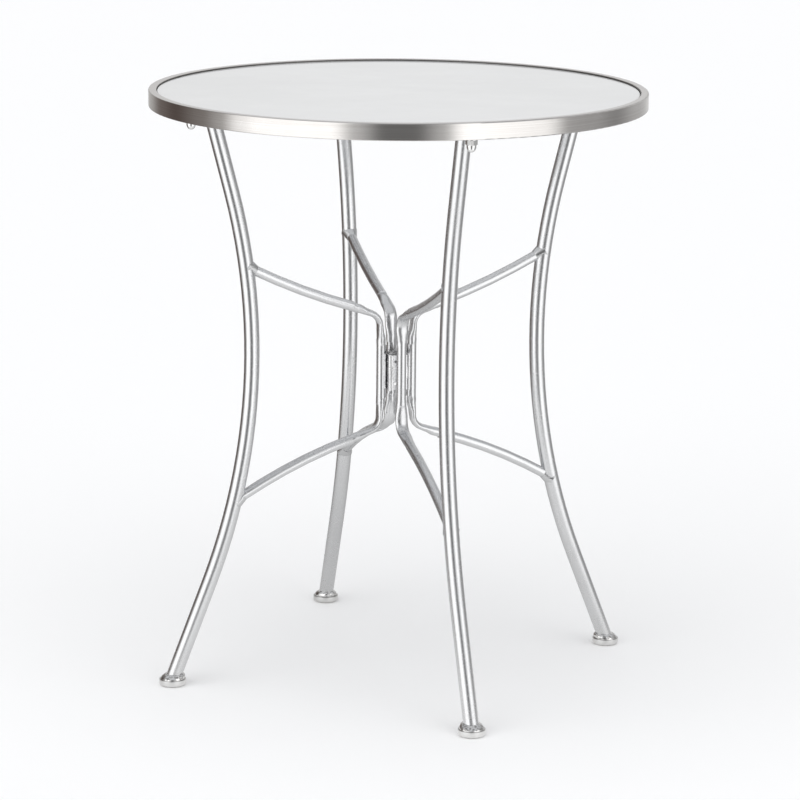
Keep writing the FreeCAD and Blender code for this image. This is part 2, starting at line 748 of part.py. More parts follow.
def cylinder(name, diameter, bottom, height):
    obj = doc.addObject("Part::Cylinder", name)
    obj.setExpression("Radius", on_sheet("(" + diameter + ") / 2"))
    obj.setExpression("Height", on_sheet(height))
    obj.setExpression(".Placement.Base.z", on_sheet(bottom))
    return obj


def leaf_plate(name, along_x):
    box = doc.addObject("Part::Box", name)
    flat = ("-(leaf_thickness + leaf_play)", "leaf_thickness")
    if along_x:
        box.setExpression("Length", on_sheet("leaf_width"))
        box.setExpression("Width", on_sheet(flat[1]))
        box.setExpression(".Placement.Base.y", on_sheet(flat[0]))
    else:
        box.setExpression("Width", on_sheet("leaf_width"))
        box.setExpression("Length", on_sheet(flat[1]))
        box.setExpression(".Placement.Base.x", on_sheet(flat[0]))
    box.setExpression("Height", on_sheet("hinge_height"))
    box.setExpression(".Placement.Base.z", on_sheet("hinge_bottom"))
    return box


def screw_hole(name, along_x, height):
    hole = doc.addObject("Part::Cylinder", name)
    hole.setExpression("Radius", on_sheet("screw_hole_diameter / 2"))
    hole.setExpression("Height", on_sheet("leaf_thickness + 2"))
    if along_x:
        axis = FreeCAD.Vector(1, 0, 0)
        hole.Placement = FreeCAD.Placement(FreeCAD.Vector(), FreeCAD.Rotation(axis, 90))
        hole.setExpression(".Placement.Base.x", on_sheet("screw_hole_from_pin"))
        hole.setExpression(".Placement.Base.y", "1 mm")
    else:
        axis = FreeCAD.Vector(0, 1, 0)
        hole.Placement = FreeCAD.Placement(FreeCAD.Vector(), FreeCAD.Rotation(axis, -90))
        hole.setExpression(".Placement.Base.y", on_sheet("screw_hole_from_pin"))
        hole.setExpression(".Placement.Base.x", "1 mm")
    hole.setExpression(".Placement.Base.z", on_sheet(height))
    return hole


def make_leaf(name, along_x, own, others, bore, placement):
    # One leaf: its plate and its own knuckles, cleared round the other's.
    solids = [leaf_plate(name + "_flat", along_x)]
    for i, (bottom, height) in enumerate(own):
        solids.append(cylinder("%s_knuckle%d" % (name, i), "barrel_diameter", bottom, height))
    whole = doc.addObject("Part::MultiFuse", name + "_whole")
    whole.Shapes = solids
    cuts = [cylinder(name + "_bore", bore, "hinge_bottom - 1", "hinge_height + 2")]
    for i, (bottom, height) in enumerate(others):
        around = "barrel_diameter + 2 * knuckle_gap"
        cuts.append(cylinder("%s_room%d" % (name, i), around, bottom, height))
    for side, height in (("low", "hinge_bottom + screw_hole_from_end"),
                         ("high", "hinge_bottom + hinge_height - screw_hole_from_end")):
        cuts.append(screw_hole("%s_hole_%s" % (name, side), along_x, height))
    tools = doc.addObject("Part::MultiFuse", name + "_tools")
    tools.Shapes = cuts
    leaf = doc.addObject("Part::Cut", name)
    leaf.Base = whole
    leaf.Tool = tools
    leaf.Placement = placement
    return keep(leaf, name)


def make_hinge(index, owner_one, owner_two):
    # Leaf one carries the two outer knuckles and the pin, leaf two the middle one.
    offset = size("pivot_offset")
    corner = FreeCAD.Placement(FreeCAD.Vector(-offset, -offset, 0), FreeCAD.Rotation())
    placement = turn(90.0 * index).multiply(corner)
    low = ("hinge_bottom", "knuckle_height")
    middle = ("middle_knuckle", "knuckle_height")
    high = ("hinge_bottom + hinge_height - knuckle_height", "knuckle_height")
    low_room = ("hinge_bottom - 1", "knuckle_height + knuckle_gap + 1")
    middle_room = ("middle_knuckle - knuckle_gap", "knuckle_height + 2 * knuckle_gap")
    high_room = ("hinge_bottom + hinge_height - knuckle_height - knuckle_gap",
                 "knuckle_height + knuckle_gap + 1")
    pair = owner_one + "_" + owner_two
    running = "pin_diameter + 2 * pin_play"
    make_leaf("hinge_leaf_%s_to_%s" % (owner_one, owner_two), True, [low, high],
              [middle_room], "pin_diameter", placement)
    make_leaf("hinge_leaf_%s_to_%s" % (owner_two, owner_one), False, [middle],
              [low_room, high_room], running, placement)
    top = "hinge_bottom + hinge_height"
    pin = turned_body("pin_body_" + pair, placement, [
        [("0", "hinge_bottom - pin_head_thickness"),
         ("pin_head_diameter / 2", "hinge_bottom - pin_head_thickness"),
         ("pin_head_diameter / 2", "hinge_bottom"), ("pin_diameter / 2", "hinge_bottom"),
         ("pin_diameter / 2", top), ("pin_head_diameter / 2", top),
         ("pin_head_diameter / 2", top + " + pin_head_thickness"),
         ("0", top + " + pin_head_thickness")]])
    keep(pin, "hinge_pin_" + pair)


STRETCHER = []

for wing, angle in WINGS:
    make_plate(wing, angle)
    make_bolt(wing, angle)
    rod = make_leg(wing, angle)
    make_tab(wing, angle)
    make_washer(wing, angle)
    make_nut(wing, angle)
    make_foot(wing, angle, rod)
    doc.recompute()
    if not STRETCHER:
        STRETCHER = stretcher_shapes(rod)
    make_stretcher(wing, angle, STRETCHER)

make_hinge(0, "front", "left")
make_hinge(1, "right", "front")
make_hinge(2, "back", "right")
make_hinge(3, "left", "back")

doc.removeObject("probe")
doc.recompute()

for obj in doc.Objects:
    states = obj.State
    if "Invalid" in states or "Error" in states:
        raise RuntimeError("%s (%s) did not build: %s" % (obj.Name, obj.Label, states))

for node, obj in SUBPARTS:
    shape = obj.Shape
    if shape.isNull() or not shape.isValid():
        raise RuntimeError("%s has no valid shape" % node)
    if len(shape.Solids) != 1:
        raise RuntimeError("%s has %d solids" % (node, len(shape.Solids)))

os.makedirs("parts", exist_ok=True)
for node, obj in SUBPARTS:
    obj.Shape.exportStep("parts/%s.step" % node)
    box = obj.Shape.BoundBox
    print("%-28s volume %10.1f  z %7.1f to %7.1f" % (node, obj.Shape.Volume, box.ZMin, box.ZMax))
print("%d nodes written" % len(SUBPARTS))
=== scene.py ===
"""Round bistro table: looks, floor, lights and camera round the fixed metal frame.

Every length is in metres. The table stands on the floor under its own centre, +Z up.
"""

import math

import bmesh
import bpy
from mathutils import Matrix, Vector
from mathutils import noise as field


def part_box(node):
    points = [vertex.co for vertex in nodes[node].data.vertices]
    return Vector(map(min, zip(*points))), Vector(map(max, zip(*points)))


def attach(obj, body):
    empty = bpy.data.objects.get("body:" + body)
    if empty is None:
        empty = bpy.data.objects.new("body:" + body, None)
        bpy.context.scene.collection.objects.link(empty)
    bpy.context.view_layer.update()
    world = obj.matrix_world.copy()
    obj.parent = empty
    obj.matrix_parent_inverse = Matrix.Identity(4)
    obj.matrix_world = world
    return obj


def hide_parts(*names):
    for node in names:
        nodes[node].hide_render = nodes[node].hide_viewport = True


WINGS = {
    "front": Vector((0, -1, 0)),
    "right": Vector((1, 0, 0)),
    "back": Vector((0, 1, 0)),
    "left": Vector((-1, 0, 0)),
}
HINGES = (("front", "left"), ("right", "front"), ("back", "right"), ("left", "back"))
MM = 0.001
UP = Vector((0, 0, 1))
MERGE = 1e-6  # points nearer to each other than this become one

# The straight foot of a leg leans out by this much for each metre of its height.
LEG_SLOPE = math.tan(math.radians(21.6))
LEG_RADIUS = 9.5 * MM
CAP_BAND = 7.0 * MM

# The two bends of a C-shaped tube: the height of the corner, and how far the upright
# and the arm turn there.
BENDS = ((455.0 * MM, 1, math.radians(17.5)), (309.5 * MM, -1, math.radians(16.7)))
TUBE_RADIUS = 6.25 * MM
BEND_RADIUS = 20.0 * MM
BEND_TAPER = 25.0 * MM  # how far past the bend the pressed part fades out
BEND_PRESS = 2.25 * MM

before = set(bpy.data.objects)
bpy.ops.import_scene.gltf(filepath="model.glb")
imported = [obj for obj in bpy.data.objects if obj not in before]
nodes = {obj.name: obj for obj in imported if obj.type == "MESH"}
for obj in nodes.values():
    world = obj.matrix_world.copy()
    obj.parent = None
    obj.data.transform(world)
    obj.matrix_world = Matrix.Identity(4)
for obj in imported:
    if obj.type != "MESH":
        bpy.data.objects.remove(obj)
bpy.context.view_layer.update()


# ---------------------------------------------------------------- node helpers

def add(tree, kind, **settings):
    """A new node; settings name its own properties."""
    node = tree.nodes.new("ShaderNode" + kind)
    for key, value in settings.items():
        setattr(node, key, value)
    return node


def join(tree, source, target):
    tree.links.new(source, target)


def feed(tree, node, **values):
    """Sets or links input sockets by name, with _ for the spaces in the name."""
    for key, value in values.items():
        socket = node.inputs[key.replace("_", " ")]
        if isinstance(value, bpy.types.NodeSocket):
            tree.links.new(value, socket)
        else:
            socket.default_value = value
    return node


def maths(tree, operation, first, second=None, third=None, clamp=False):
    node = add(tree, "Math", operation=operation, use_clamp=clamp)
    for index, value in enumerate((first, second, third)):
        if value is None:
            continue
        if isinstance(value, bpy.types.NodeSocket):
            tree.links.new(value, node.inputs[index])
        else:
            node.inputs[index].default_value = value
    return node.outputs[0]


def span(tree, value, low, high, to_low=0.0, to_high=1.0):
    """Maps a value from one span to another and holds it inside."""
    node = add(tree, "MapRange")
    feed(tree, node, Value=value, From_Min=low, From_Max=high, To_Min=to_low,
         To_Max=to_high)
    return node.outputs[0]


def blend_colour(tree, share, first, second):
    """Mixes two colours by a share from 0, the first, to 1, the second."""
    node = add(tree, "Mix", data_type="RGBA")
    for socket, value in ((node.inputs[0], share), (node.inputs[6], first),
                          (node.inputs[7], second)):
        if isinstance(value, bpy.types.NodeSocket):
            tree.links.new(value, socket)
        elif isinstance(value, tuple):
            socket.default_value = (*value, 1)
        else:
            socket.default_value = value
    return node.outputs[2]


def tint(tree, colour, mask, strength, shade):
    """Lays a shade over a colour where a mask is high."""
    return blend_colour(tree, maths(tree, "MULTIPLY", mask, strength), colour, shade)


def change(tree, value, mask, amount):
    """Adds an amount to a value where a mask is high."""
    return maths(tree, "MULTIPLY_ADD", mask, amount, value)


def split(tree, vector):
    """The X, Y and Z of a vector socket."""
    node = add(tree, "SeparateXYZ")
    join(tree, vector, node.inputs[0])
    return node.outputs


def from_axis(tree, east, north):
    """Distance from the table's vertical axis."""
    return maths(tree, "SQRT", maths(tree, "ADD", maths(tree, "MULTIPLY", east, east),
                                     maths(tree, "MULTIPLY", north, north)))


def new_group(name, inputs, outputs):
    """A shader node group; inputs map a socket name to (type, default value)."""
    group = bpy.data.node_groups.new(name, "ShaderNodeTree")
    for key, (kind, value) in inputs.items():
        socket = group.interface.new_socket(name=key, in_out="INPUT",
                                            socket_type="NodeSocket" + kind)
        if value is not None:
            socket.default_value = value
    for key, kind in outputs.items():
        group.interface.new_socket(name=key, in_out="OUTPUT",
                                   socket_type="NodeSocket" + kind)
    return group, group.nodes.new("NodeGroupInput"), group.nodes.new("NodeGroupOutput")


def use_group(tree, group, **values):
    node = add(tree, "Group")
    node.node_tree = group
    return feed(tree, node, **values)


def noise(tree, vector, scale, detail=2.0, roughness=0.5):
    node = add(tree, "TexNoise")
    feed(tree, node, Vector=vector, Scale=scale, Detail=detail, Roughness=roughness)
    return node.outputs["Fac"]


def new_material(name):
    material = bpy.data.materials.new(name)
    material.use_nodes = True
    tree = material.node_tree
    shader = tree.nodes["Principled BSDF"]
    place = add(tree, "TexCoord").outputs["Object"]
    return material, tree, shader, place


def bump(tree, shader, height, strength, distance):
    node = add(tree, "Bump")
    node.inputs["Strength"].default_value = strength
    node.inputs["Distance"].default_value = distance
    join(tree, height, node.inputs["Height"])
    join(tree, node.outputs["Normal"], shader.inputs["Normal"])


# ---------------------------------------------------------------- camera and studio

VIEW_AZIMUTH = math.radians(-18.8)
VIEW_HEIGHT_ANGLE = math.radians(13.1)
VIEW_ROLL = math.radians(0.5)
CAMERA_DISTANCE = 3.932
CAMERA_LENS = 141.6
SENSOR_WIDTH = 36.0
FARTHEST_SEEN = 100.0
AIM_HEIGHT = 0.3443
AIM_SIDE = 0.005

# Brightness of the light tent round the table: (degrees round from the camera's side,
# positive to its right, and how bright and how warm the wall is there).
TENT_WALL = (
    (-180, (0.78, 0.78, 0.78)), (-158, (0.45, 0.44, 0.43)), (-138, (0.17, 0.145, 0.135)),
    (-122, (0.11, 0.088, 0.080)), (-100, (0.24, 0.22, 0.21)), (-88, (0.44, 0.43, 0.42)),
    (-76, (1.20, 1.20, 1.20)), (-66, (1.50, 1.50, 1.50)), (-30, (1.55, 1.55, 1.55)),
    (-19, (0.62, 0.62, 0.62)), (-6, (0.18, 0.18, 0.18)), (8, (0.18, 0.18, 0.18)),
    (20, (0.55, 0.55, 0.55)), (30, (1.55, 1.55, 1.55)), (70, (1.35, 1.35, 1.35)),
    (84, (0.46, 0.46, 0.46)), (100, (0.43, 0.43, 0.43)), (116, (0.30, 0.30, 0.30)),
    (138, (0.50, 0.50, 0.50)), (180, (0.78, 0.78, 0.78)),
)
TENT_ROOF = (0.60, 0.61, 0.63)
# The wall turns into the roof between these sines of the height angle.
ROOF_START = 0.42
ROOF_END = 0.75
BRIGHTEST = 1.6  # a ramp's colours stop at 1, so all of them are divided by this

FLOOR_REACH = 20.0
FLOOR_COLOUR = (0.98, 0.98, 0.98, 1)

# The glow that mirrors see under the table, from its far side to the camera's side.
GLOW_RADIUS = 0.95
GLOW_DEPTH = 1 * MM
GLOW_SPAN = (-0.8, 0.5)
GLOW_BRIGHTNESS = (0.36, 0.94)

LIGHT_PLACE = Vector((-0.6, -0.8, 3.0))
LIGHT_AIM = UP * 0.45
LIGHT_STRENGTH = 1.25
LIGHT_WIDTH = math.radians(80)


def toward(azimuth, height_angle=0.0):
    """Unit vector from the table towards a viewer at that azimuth and height."""
    level = math.cos(height_angle)
    return Vector((math.sin(azimuth) * level, -math.cos(azimuth) * level,
                   math.sin(height_angle)))


def facing(direction):
    """Rotation that points a camera or a lamp along a direction, its top upwards."""
    return direction.to_track_quat("-Z", "Y")


def link(obj):
    bpy.context.scene.collection.objects.link(obj)
    return obj


def make_camera():
    data = bpy.data.cameras.new("camera")
    data.lens = CAMERA_LENS
    data.sensor_width = SENSOR_WIDTH
    data.clip_end = FARTHEST_SEEN
    data.dof.use_dof = False
    camera = link(bpy.data.objects.new("camera", data))
    back = toward(VIEW_AZIMUTH, VIEW_HEIGHT_ANGLE)
    side = Vector((math.cos(VIEW_AZIMUTH), math.sin(VIEW_AZIMUTH), 0))
    camera.location = side * AIM_SIDE + UP * AIM_HEIGHT + back * CAMERA_DISTANCE
    turn = facing(-back).to_matrix().to_4x4() @ Matrix.Rotation(VIEW_ROLL, 4, "Z")
    camera.rotation_euler = turn.to_euler()
    bpy.context.scene.camera = camera


def add_to_stage(name, bm, material, hidden_from):
    """Makes a bmesh a part of the stage, unseen by the kinds of ray named."""
    mesh = bpy.data.meshes.new(name)
    bm.to_mesh(mesh)
    bm.free()
    mesh.materials.append(material)
    stage = link(bpy.data.objects.new(name, mesh))
    for ray in hidden_from:
        setattr(stage, "visible_" + ray, False)


def make_floor():
    """Pale floor to see. The metal mirrors the floor glow in its place."""
    material, tree, shader, _ = new_material("pale_floor")
    feed(tree, shader, Base_Color=FLOOR_COLOUR, Roughness=0.9, Specular_IOR_Level=0.1)
    bm = bmesh.new()
    bmesh.ops.create_grid(bm, x_segments=1, y_segments=1, size=FLOOR_REACH)
    add_to_stage("studio_floor", bm, material, ("glossy",))


def make_floor_glow():
    """The lit floor as metal mirrors it: a disc only mirrors see, brighter in front."""
    material, tree, shader, place = new_material("floor_glow")
    nearer = add(tree, "VectorMath", operation="DOT_PRODUCT")
    nearer.inputs[1].default_value = toward(VIEW_AZIMUTH)
    join(tree, place, nearer.inputs[0])
    bright = span(tree, nearer.outputs["Value"], *GLOW_SPAN, *GLOW_BRIGHTNESS)
    glow = blend_colour(tree, bright, (0, 0, 0), (1, 1, 1))
    feed(tree, shader, Base_Color=(0, 0, 0, 1), Emission_Strength=1.0,
         Emission_Color=glow)
    bm = bmesh.new()
    bmesh.ops.create_circle(bm, cap_ends=True, segments=96, radius=GLOW_RADIUS)
    bmesh.ops.translate(bm, vec=(0, 0, -GLOW_DEPTH), verts=bm.verts)
    add_to_stage("floor_glow", bm, material,
                 ("camera", "diffuse", "shadow", "transmission"))


def make_light_tent():
    """The surroundings: a pale tent wall with darker openings, under an even roof."""
    world = bpy.data.worlds.new("light_tent")
    world.use_nodes = True
    tree = world.node_tree
    turn = add(tree, "Mapping")
    turn.inputs["Rotation"].default_value = (0, 0, -VIEW_AZIMUTH)
    join(tree, add(tree, "TexCoord").outputs["Generated"], turn.inputs["Vector"])
    east, north, up = split(tree, turn.outputs[0])
    around = maths(tree, "ARCTAN2", east, maths(tree, "MULTIPLY", north, -1.0))
    wall = add(tree, "ValToRGB")
    ramp = wall.color_ramp
    ramp.interpolation = "EASE"
    while len(ramp.elements) > 1:
        ramp.elements.remove(ramp.elements[-1])
    for index, (angle, colour) in enumerate(TENT_WALL):
        place = (angle + 180) / 360
        stop = ramp.elements[0] if index == 0 else ramp.elements.new(place)
        stop.position = place
        stop.color = (*(part / BRIGHTEST for part in colour), 1)
    join(tree, span(tree, around, -math.pi, math.pi), wall.inputs["Fac"])
    roof = tuple(part / BRIGHTEST for part in TENT_ROOF)
    colour = blend_colour(tree, span(tree, up, ROOF_START, ROOF_END),
                          wall.outputs["Color"], roof)
    feed(tree, tree.nodes["Background"], Color=colour, Strength=BRIGHTEST)
    bpy.context.scene.world = world


def make_overhead_light():
    """Wide soft sun for the floor, the glass and the shadows; mirrors don't see it."""
    data = bpy.data.lights.new("overhead_light", "SUN")
    data.energy = LIGHT_STRENGTH
    data.angle = LIGHT_WIDTH
    lamp = link(bpy.data.objects.new("overhead_light", data))
    lamp.location = LIGHT_PLACE
    lamp.rotation_euler = facing(LIGHT_AIM - LIGHT_PLACE).to_euler()
    lamp.visible_camera = False
    lamp.visible_glossy = False


def make_studio():
    bpy.context.scene.view_settings.view_transform = "Standard"
    make_light_tent()
    make_floor()
    make_floor_glow()
    make_overhead_light()


# ---------------------------------------------------------------- shared effects

def group_brushed_round():
    """Hairlines that run round the vertical axis, as a belt leaves them on a hoop."""
    group, start, end = new_group(
        "brushed_round",
        {"Vector": ("Vector", None), "Lines": ("Float", 2600.0), "Run": ("Float", 5.0)},
        {"Height": "Float", "Streak": "Float"})
    east, north, up = split(group, start.outputs["Vector"])
    flat = from_axis(group, east, north)
    level = maths(group, "MULTIPLY", maths(group, "ADD", flat, up),
                  start.outputs["Lines"])
    around = add(group, "CombineXYZ")
    for socket, side in zip(around.inputs, (east, north)):
        share = maths(group, "DIVIDE", side, flat)
        join(group, maths(group, "MULTIPLY", share, start.outputs["Run"]), socket)
    join(group, level, around.inputs[2])
    fine = noise(group, around.outputs[0], 1.0, 3.0, 0.6)
    coarse = noise(group, around.outputs[0], 0.23, 1.0, 0.5)
    join(group, fine, end.inputs["Height"])
    join(group, maths(group, "MULTIPLY_ADD", coarse, 0.6,
                      maths(group, "MULTIPLY", fine, 0.4)), end.inputs["Streak"])
    return group


def group_drawn_lines():
    """Faint lines along the height of a tube, from drawing and polishing."""
    group, start, end = new_group(
        "drawn_lines", {"Vector": ("Vector", None), "Scale": ("Float", 900.0)},
        {"Height": "Float", "Mask": "Float"})
    place = add(group, "Mapping")
    place.inputs["Scale"].default_value = (1.0, 1.0, 0.02)
    join(group, start.outputs["Vector"], place.inputs["Vector"])
    lines = noise(group, place.outputs[0], start.outputs["Scale"], 2.0, 0.5)
    join(group, lines, end.inputs["Height"])
    join(group, span(group, lines, 0.45, 0.65), end.inputs["Mask"])
    return group


def group_smudges():
    """Soft cloudy marks from hands and cleaning."""
    group, start, end = new_group(
        "smudges", {"Vector": ("Vector", None), "Scale": ("Float", 14.0)},
        {"Mask": "Float", "Cloud": "Float"})
    cloud = noise(group, start.outputs["Vector"], start.outputs["Scale"], 4.0, 0.6)
    spots = noise(group, start.outputs["Vector"],
                  maths(group, "MULTIPLY", start.outputs["Scale"], 4.3), 3.0, 0.55)
    both = maths(group, "MULTIPLY", span(group, cloud, 0.42, 0.68), spots)
    join(group, both, end.inputs["Mask"])
    join(group, cloud, end.inputs["Cloud"])
    return group


def group_scratches():
    """Thin hairline scratches in random directions."""
    group, start, end = new_group(
        "scratches",
        {"Vector": ("Vector", None), "Scale": ("Float", 60.0), "Width": ("Float", 0.01)},
        {"Mask": "Float"})
    bend = add(group, "TexNoise")
    bend.inputs["Scale"].default_value = 9.0
    join(group, start.outputs["Vector"], bend.inputs["Vector"])
    shift = add(group, "VectorMath", operation="MULTIPLY_ADD")
    shift.inputs[1].default_value = (0.02, 0.02, 0.02)
    join(group, bend.outputs["Color"], shift.inputs[0])
    join(group, start.outputs["Vector"], shift.inputs[2])
    cells = add(group, "TexVoronoi", feature="DISTANCE_TO_EDGE")
    join(group, shift.outputs[0], cells.inputs["Vector"])
    join(group, start.outputs["Scale"], cells.inputs["Scale"])
    line = maths(group, "LESS_THAN", cells.outputs["Distance"], start.outputs["Width"])
    broken = span(group, noise(group, start.outputs["Vector"], 35.0, 2.0), 0.52, 0.62)
    join(group, maths(group, "MULTIPLY", line, broken), end.inputs["Mask"])
    return group


def group_dust():
    """Dust and dried splashes that thin out with height above the floor."""
    group, start, end = new_group(
        "dust",
        {"Vector": ("Vector", None), "Reach": ("Float", 0.05), "Scale": ("Float", 160.0)},
        {"Mask": "Float"})
    up = split(group, start.outputs["Vector"])[2]
    low = maths(group, "SUBTRACT", 1.0,
                maths(group, "DIVIDE", up, start.outputs["Reach"]), clamp=True)
    specks = noise(group, start.outputs["Vector"], start.outputs["Scale"], 4.0, 0.65)
    join(group, maths(group, "MULTIPLY", low, span(group, specks, 0.45, 0.75)),
         end.inputs["Mask"])
    return group


brushed_round = group_brushed_round()
drawn_lines = group_drawn_lines()
smudges = group_smudges()
scratches = group_scratches()
dust = group_dust()


# ---------------------------------------------------------------- materials

def brushed_hoop():
    """Satin hoop of the top: hairlines round it, darker streaks, light handling marks."""
    material, tree, shader, place = new_material("brushed_hoop")
    lines = use_group(tree, brushed_round, Vector=place, Lines=2600.0, Run=4.0)
    marks = use_group(tree, smudges, Vector=place, Scale=9.0)
    nicks = use_group(tree, scratches, Vector=place, Scale=38.0, Width=0.004)
    streak = span(tree, lines.outputs["Streak"], 0.3, 0.7)
    colour = blend_colour(tree, streak, (0.65, 0.625, 0.605), (0.74, 0.725, 0.71))
    colour = tint(tree, colour, marks.outputs["Mask"], 0.35, (0.52, 0.50, 0.48))
    colour = tint(tree, colour, nicks.outputs["Mask"], 0.4, (0.88, 0.87, 0.86))
    # Painted shade: the hoop's upper face is darkened in its colour.
    top_face_shade = hoop_top_painted_shade(tree, place)
    colour = tint(tree, colour, top_face_shade, 0.85, (0.51, 0.485, 0.47))
    # Painted shadow: a near-black band on the low wall between the lip and the glass.
    corner = hoop_corner_painted_shade(tree, place)
    colour = tint(tree, colour, corner, 0.88, (0.06, 0.055, 0.05))
    rough = change(tree, 0.08, lines.outputs["Height"], 0.08)
    rough = change(tree, rough, marks.outputs["Mask"], 0.06)
    rough = change(tree, rough, corner, 0.3)
    feed(tree, shader, Base_Color=colour, Roughness=rough, Metallic=1.0)
    bump(tree, shader, lines.outputs["Height"], 0.25, 0.00002)
    return material


def hoop_top_painted_shade(tree, place):
    """The hoop's narrow upper face, where painted shade makes it darker than its outer
    band.
    """
    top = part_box("table_ring")[1].z
    return span(tree, split(tree, place)[2], top - 0.4 * MM, top - 0.1 * MM)


def hoop_corner_painted_shade(tree, place):
    """The low wall between the hoop's lip and the glass, painted near-black as the shadow
    that falls in this recess.
    """
    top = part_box("table_ring")[1].z
    glass_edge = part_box("glass_panel")[1].x
    east, north, up = split(tree, place)
    inside = span(tree, from_axis(tree, east, north), glass_edge + 0.9 * MM,
                  glass_edge + 1.3 * MM, 1.0, 0.0)
    below = span(tree, up, top - 0.7 * MM, top - 0.2 * MM, 1.0, 0.0)
    return maths(tree, "MULTIPLY", inside, below)


def white_glass():
    """Clear glass painted white on its underside: glossy, faintly cloudy, clean."""
    material, tree, shader, place = new_material("white_glass")
    marks = use_group(tree, smudges, Vector=place, Scale=5.0)
    nicks = use_group(tree, scratches, Vector=place, Scale=22.0, Width=0.002)
    colour = blend_colour(tree, span(tree, marks.outputs["Cloud"], 0.35, 0.65),
                          (0.745, 0.75, 0.755), (0.79, 0.795, 0.80))
    colour = tint(tree, colour, nicks.outputs["Mask"], 0.3, (0.9, 0.9, 0.9))
    rough = change(tree, 0.06, marks.outputs["Mask"], 0.12)
    feed(tree, shader, Base_Color=colour, Roughness=rough)
    shader.inputs["IOR"].default_value = 1.5
    shader.inputs["Coat Weight"].default_value = 0.3
    shader.inputs["Coat Roughness"].default_value = 0.03
    bump(tree, shader, marks.outputs["Cloud"], 0.05, 0.0002)
    return material


def polished_metal(name, light, dark, rough, line_scale=900.0, mark_scale=14.0):
    """Bright plated steel with drawing lines, handling marks and dust near the floor."""
    material, tree, shader, place = new_material(name)
    lines = use_group(tree, drawn_lines, Vector=place, Scale=line_scale)
    marks = use_group(tree, smudges, Vector=place, Scale=mark_scale)
    nicks = use_group(tree, scratches, Vector=place, Scale=70.0, Width=0.008)
    low_dust = use_group(tree, dust, Vector=place, Reach=0.05, Scale=220.0)
    tone = maths(tree, "MULTIPLY_ADD", lines.outputs["Mask"], 0.16,
                 maths(tree, "MULTIPLY", marks.outputs["Mask"], 0.35))
    colour = blend_colour(tree, tone, light, dark)
    colour = tint(tree, colour, nicks.outputs["Mask"], 0.35, (0.9, 0.9, 0.9))
    colour = tint(tree, colour, low_dust.outputs["Mask"], 0.3, (0.52, 0.50, 0.46))
    roughness = change(tree, rough, marks.outputs["Mask"], 0.10)
    roughness = change(tree, roughness, nicks.outputs["Mask"], 0.12)
    roughness = change(tree, roughness, low_dust.outputs["Mask"], 0.25)
    feed(tree, shader, Base_Color=colour, Roughness=roughness, Metallic=1.0)
    bump(tree, shader, lines.outputs["Height"], 0.03, 0.00002)
    return material


def cap_metal():
    """Plated foot caps: satin band, dark line at the lip, weld scale on the shoulder."""
    material, tree, shader, place = new_material("foot_cap_plating")
    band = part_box("foot_cap_front")[0].z + CAP_BAND
    height = split(tree, place)[2]
    marks = use_group(tree, smudges, Vector=place, Scale=70.0)
    nicks = use_group(tree, scratches, Vector=place, Scale=150.0, Width=0.012)
    low_dust = use_group(tree, dust, Vector=place, Reach=0.01, Scale=260.0)
    colour = blend_colour(tree, marks.outputs["Cloud"], (0.74, 0.735, 0.73),
                          (0.88, 0.88, 0.875))
    shoulder = span(tree, height, band + 0.3 * MM, band + 0.9 * MM)
    scale = span(tree, noise(tree, place, 420.0, 3.0, 0.6), 0.50, 0.60)
    scale = maths(tree, "MULTIPLY", scale, shoulder)
    colour = tint(tree, colour, scale, 0.72, (0.17, 0.155, 0.145))
    from_lip = maths(tree, "ABSOLUTE", maths(tree, "SUBTRACT", height, band + 0.15 * MM))
    line = span(tree, from_lip, 0.15 * MM, 0.5 * MM, 1.0, 0.0)
    colour = tint(tree, colour, line, 0.6, (0.2, 0.19, 0.18))
    colour = tint(tree, colour, nicks.outputs["Mask"], 0.35, (0.92, 0.92, 0.92))
    colour = tint(tree, colour, low_dust.outputs["Mask"], 0.3, (0.52, 0.50, 0.46))
    rough = change(tree, 0.30, shoulder, -0.20)
    rough = change(tree, rough, marks.outputs["Mask"], 0.12)
    feed(tree, shader, Base_Color=colour, Roughness=rough, Metallic=1.0)
    bump(tree, shader, scale, 0.3, 0.0001)
    return material


def zinc_plate():
    """Passivated zinc on the pressed hinges: a little duller, with a soft mottle."""
    material, tree, shader, place = new_material("zinc_hinge")
    marks = use_group(tree, smudges, Vector=place, Scale=60.0)
    lines = use_group(tree, drawn_lines, Vector=place, Scale=1800.0)
    nicks = use_group(tree, scratches, Vector=place, Scale=150.0, Width=0.01)
    colour = blend_colour(tree, span(tree, marks.outputs["Cloud"], 0.35, 0.65),
                          (0.80, 0.80, 0.81), (0.93, 0.93, 0.93))
    colour = tint(tree, colour, nicks.outputs["Mask"], 0.4, (0.9, 0.9, 0.9))
    rough = change(tree, 0.24, marks.outputs["Mask"], 0.14)
    feed(tree, shader, Base_Color=colour, Roughness=rough, Metallic=1.0)
    bump(tree, shader, lines.outputs["Height"], 0.12, 0.00003)
    return material


def weld_metal():
    """Plated weld metal: the tube's finish, slightly matt, with a fine grain."""
    material, tree, shader, place = new_material("plated_weld")
    marks = use_group(tree, smudges, Vector=place, Scale=90.0)
    grain = noise(tree, place, 700.0, 3.0, 0.6)
    colour = blend_colour(tree, marks.outputs["Cloud"], (0.60, 0.605, 0.615),
                          (0.74, 0.745, 0.75))
    rough = change(tree, 0.12, grain, 0.12)
    feed(tree, shader, Base_Color=colour, Roughness=rough, Metallic=1.0)
    bump(tree, shader, grain, 0.15, 0.00006)
    return material


def soft_rubber():
    """Grey cushion tape under the glass."""
    material, tree, shader, place = new_material("grey_rubber")
    grain = noise(tree, place, 900.0, 3.0, 0.6)
    marks = use_group(tree, smudges, Vector=place, Scale=25.0)
    colour = blend_colour(tree, marks.outputs["Cloud"], (0.22, 0.22, 0.22),
                          (0.33, 0.33, 0.325))
    rough = change(tree, 0.65, grain, 0.2)
    feed(tree, shader, Base_Color=colour, Roughness=rough)
    bump(tree, shader, grain, 0.2, 0.00008)
    return material


